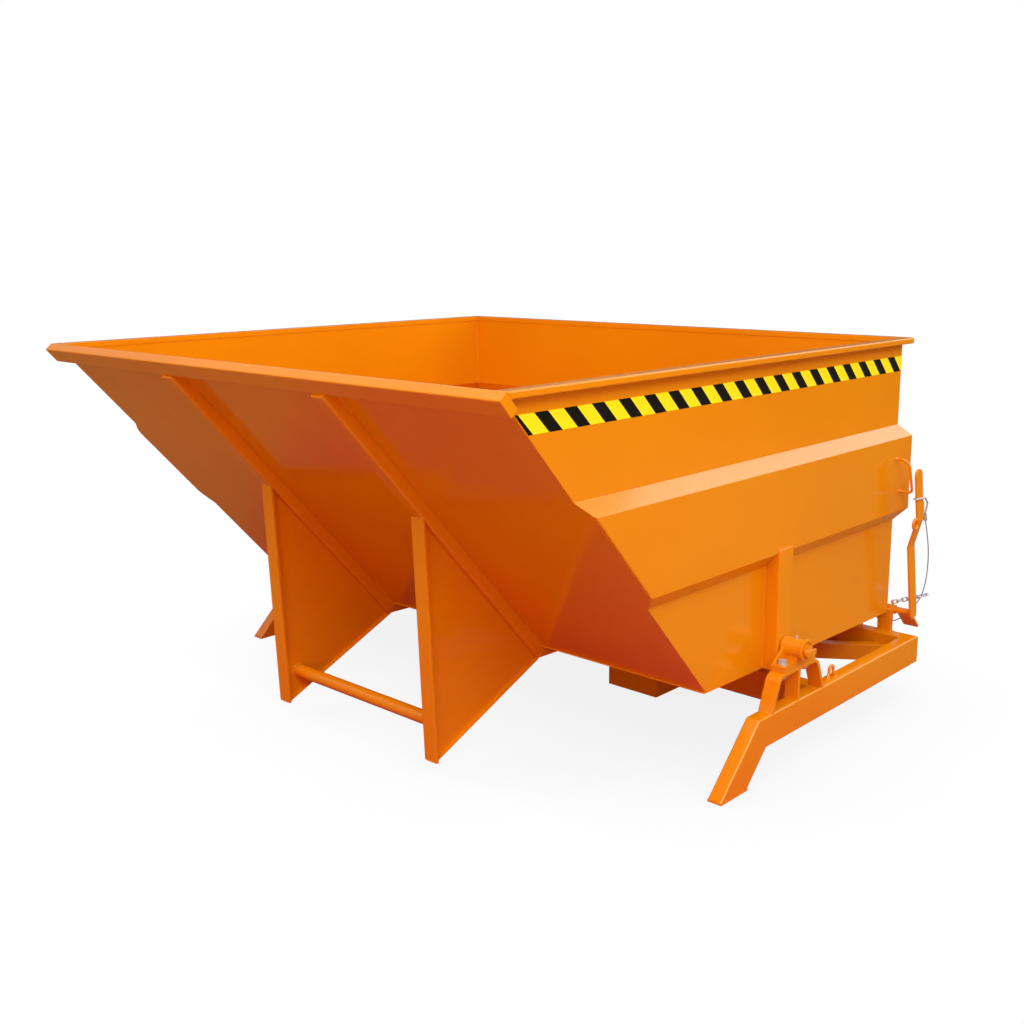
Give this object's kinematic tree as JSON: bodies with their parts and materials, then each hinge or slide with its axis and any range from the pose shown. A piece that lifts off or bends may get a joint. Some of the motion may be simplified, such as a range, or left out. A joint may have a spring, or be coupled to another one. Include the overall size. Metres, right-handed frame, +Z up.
{
  "type": "self-tipping skip",
  "caption": "Self-tipping steel skip on a fork-lift base: sloped tub on side trunnions with dump lip, tipping legs, fork pockets and a hand or foot release latch.",
  "frame": {"origin": "floor level under the middle of the whole part", "axes": "+X the way the tub tips, +Y the side with the release lever, +Z up"},
  "size_m": [2.168, 2.43, 1.286],
  "materials": {
    "orange_paint": "gloss",
    "zinc_steel": "satin",
    "rope_steel": "satin",
    "bronze": "satin"
  },
  "bodies": {
    "base": {"foot_plates": "orange_paint", "rear_cross_member": "orange_paint", "front_cross_member": "orange_paint", "pocket_end_caps": "orange_paint", "hoop_stiffeners": "orange_paint", "bearing_bolts": "zinc_steel", "grease_nipples": "zinc_steel", "lashing_eyes": "orange_paint", "tub_rests": "orange_paint", "latch_upright_outer": "orange_paint", "latch_upright_inner": "orange_paint", "side_rail_left": "orange_paint", "side_rail_right": "orange_paint", "front_leg_left": "orange_paint", "front_leg_right": "orange_paint", "fork_pocket_left": "orange_paint", "fork_pocket_right": "orange_paint", "brace_left": "orange_paint", "brace_right": "orange_paint", "bearing_hoop_left": "orange_paint", "bearing_hoop_right": "orange_paint", "bearing_block_left": "orange_paint", "bearing_block_right": "orange_paint", "bearing_bush_left": "bronze", "bearing_bush_right": "bronze"},
    "tub": {"tub_floor": "orange_paint", "tub_rear_wall": "orange_paint", "tub_front_wall": "orange_paint", "rim_rear": "orange_paint", "dump_lip": "orange_paint", "lip_end_caps": "orange_paint", "leg_cross_bar": "orange_paint", "grab_handle": "orange_paint", "latch_catch": "orange_paint", "tub_side_left": "orange_paint", "tub_side_right": "orange_paint", "rim_left": "orange_paint", "rim_right": "orange_paint", "front_rib_left": "orange_paint", "front_rib_right": "orange_paint", "leg_web_left": "orange_paint", "leg_web_right": "orange_paint", "leg_flange_left": "orange_paint", "leg_flange_right": "orange_paint", "pivot_post_left": "orange_paint", "pivot_post_right": "orange_paint", "trunnion_left": "orange_paint", "trunnion_right": "orange_paint", "pin_ring_left": "orange_paint", "pin_ring_right": "orange_paint"},
    "latch": {"latch_shaft": "orange_paint", "shaft_collar": "orange_paint", "release_lever": "orange_paint", "lever_ring": "orange_paint", "foot_pedal": "orange_paint", "latch_hook": "orange_paint", "rope_eye": "zinc_steel", "rope_ferrule": "zinc_steel", "pull_rope": "rope_steel", "safety_chain": "zinc_steel"}
  },
  "joints": [
    {"name": "tub_tip", "type": "hinge", "parent": "base", "child": "tub", "pos_m": [-0.15485, 0, 0.375], "axis": [0, 1, 0], "range_deg": [0, 85]},
    {"name": "latch_release", "type": "hinge", "parent": "base", "child": "latch", "pos_m": [-1.01185, 1, 0.282], "axis": [0, -1, 0], "range_deg": [-8, 40]}
  ]
}
